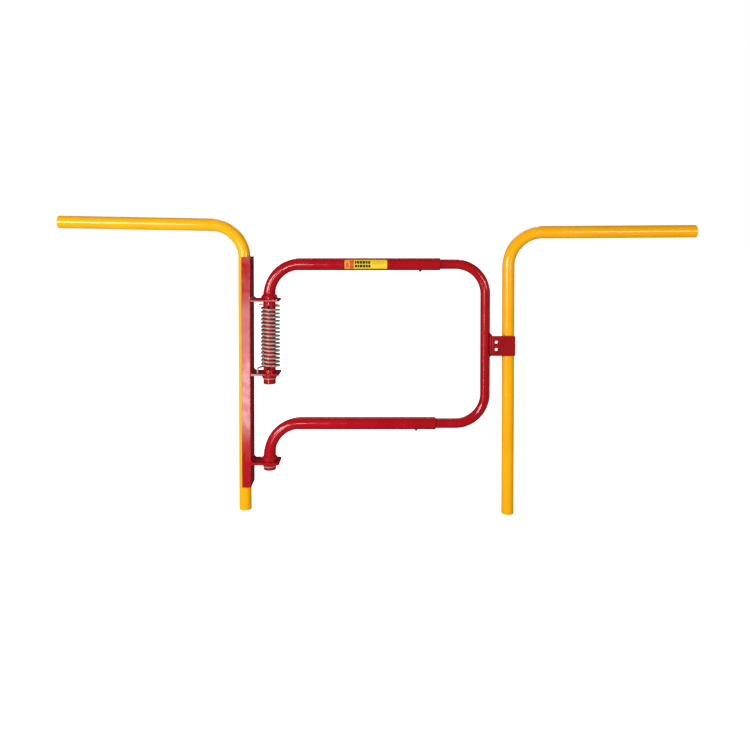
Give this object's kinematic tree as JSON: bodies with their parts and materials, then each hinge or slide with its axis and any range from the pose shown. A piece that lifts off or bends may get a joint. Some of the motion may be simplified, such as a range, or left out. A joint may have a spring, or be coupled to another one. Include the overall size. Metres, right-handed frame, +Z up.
{
  "type": "self-closing guard-rail gate",
  "caption": "Self-closing, width-adjustable safety gate: sprung hinge arms on a channel bracket, telescoping inner frame and stop plate, hung between bent pipe guard rails.",
  "frame": {"origin": "on the axis of the hinge-side rail post, at the level of the lower of the two post feet", "axes": "+X along the closed gate towards the latch side, +Y away from the approach side, +Z up"},
  "size_m": [2.1787, 0.0762, 1.025],
  "materials": {
    "yellow_enamel": "gloss enamel on steel pipe",
    "red_enamel": "gloss powder coat on steel",
    "spring_steel": "zinc plated, satin",
    "black_screw": "black oxide",
    "label_film": "printed vinyl film"
  },
  "bodies": {
    "posts_and_bracket": {"left_rail": "yellow_enamel", "right_rail": "yellow_enamel", "mounting_channel": "red_enamel", "channel_screw_upper": "black_screw", "channel_screw_lower": "black_screw", "upper_ear": "red_enamel", "middle_ear": "red_enamel", "lower_ear": "red_enamel"},
    "gate_arms": {"upper_arm": "red_enamel", "lower_arm": "red_enamel", "upper_thrust_collar": "red_enamel", "lower_thrust_collar": "red_enamel", "middle_retaining_collar": "red_enamel", "lower_retaining_collar": "red_enamel", "middle_snap_ring": "spring_steel", "lower_snap_ring": "spring_steel", "upper_spring_screw": "black_screw", "lower_spring_screw": "black_screw", "upper_lock_screw": "black_screw", "lower_lock_screw": "black_screw", "torsion_spring": "spring_steel", "sleeve_label": "label_film"},
    "sliding_frame": {"inner_frame": "red_enamel", "stop_plate": "red_enamel"}
  },
  "joints": [
    {"name": "gate_swing", "type": "hinge", "parent": "posts_and_bracket", "child": "gate_arms", "pos_m": [0.0846, 0, 0.6], "axis": [0, 0, -1], "range_deg": [0, 110], "stiffness_Nm_per_rad": 4.5, "springref_deg": -57.3, "deforming": ["torsion_spring"]},
    {"name": "width_adjust", "type": "slide", "parent": "gate_arms", "child": "sliding_frame", "axis": [1, 0, 0], "range_m": [-0.04, 0.03]}
  ]
}
